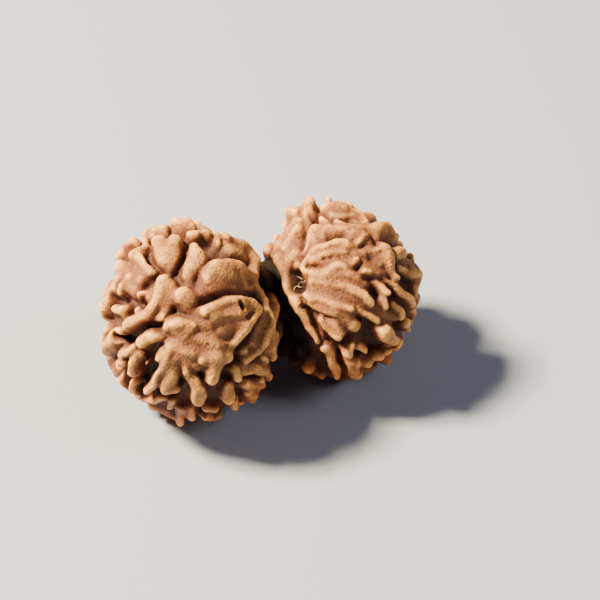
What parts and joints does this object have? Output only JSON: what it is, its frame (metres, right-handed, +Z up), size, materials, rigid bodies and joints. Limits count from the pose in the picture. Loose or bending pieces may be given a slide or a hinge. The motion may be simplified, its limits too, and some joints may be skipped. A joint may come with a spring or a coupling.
{
  "type": "twin rudraksha seed",
  "caption": "Natural woody rudraksha stone of the twin kind: beads grown together side by side, covered by rounded radiating knobs and valleys.",
  "frame": {"origin": "on the table under the middle of the twin stone", "axes": "+X along the pair from the larger bead to the smaller one, +Z up, -Y towards the side that is seen in the picture"},
  "size_m": [0.0337, 0.0204, 0.0206],
  "materials": {
    "stone": "dry, slightly waxy, tan brown with darker valleys"
  },
  "bodies": {
    "root": {"rudraksha_stone": "stone"}
  },
  "joints": []
}
